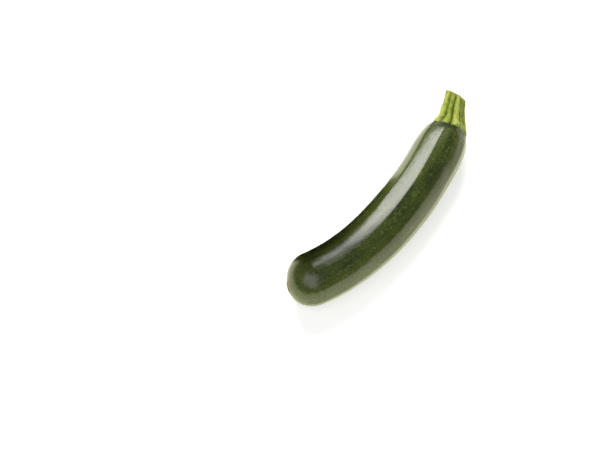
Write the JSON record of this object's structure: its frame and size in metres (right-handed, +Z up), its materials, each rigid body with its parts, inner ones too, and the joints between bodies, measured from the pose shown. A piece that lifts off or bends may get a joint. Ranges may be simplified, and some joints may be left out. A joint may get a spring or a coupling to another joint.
{
  "type": "courgette",
  "caption": "Whole green courgette as picked, bent to one side and lying down, with the cut stub of its ribbed stem.",
  "frame": {"origin": "on the surface that it lies on, under the middle of its bounding box", "axes": "+Z up; +X from the blossom tip towards the stem joint, seen from above; the fruit bends towards +Y at both ends"},
  "size_m": [0.2082, 0.0594, 0.0427],
  "materials": {
    "skin": "waxy dark green skin, finely flecked",
    "stem": "dull yellow-green, ribbed, with a short bristle"
  },
  "bodies": {
    "root": {"fruit": "skin", "stem": "stem"}
  },
  "joints": []
}
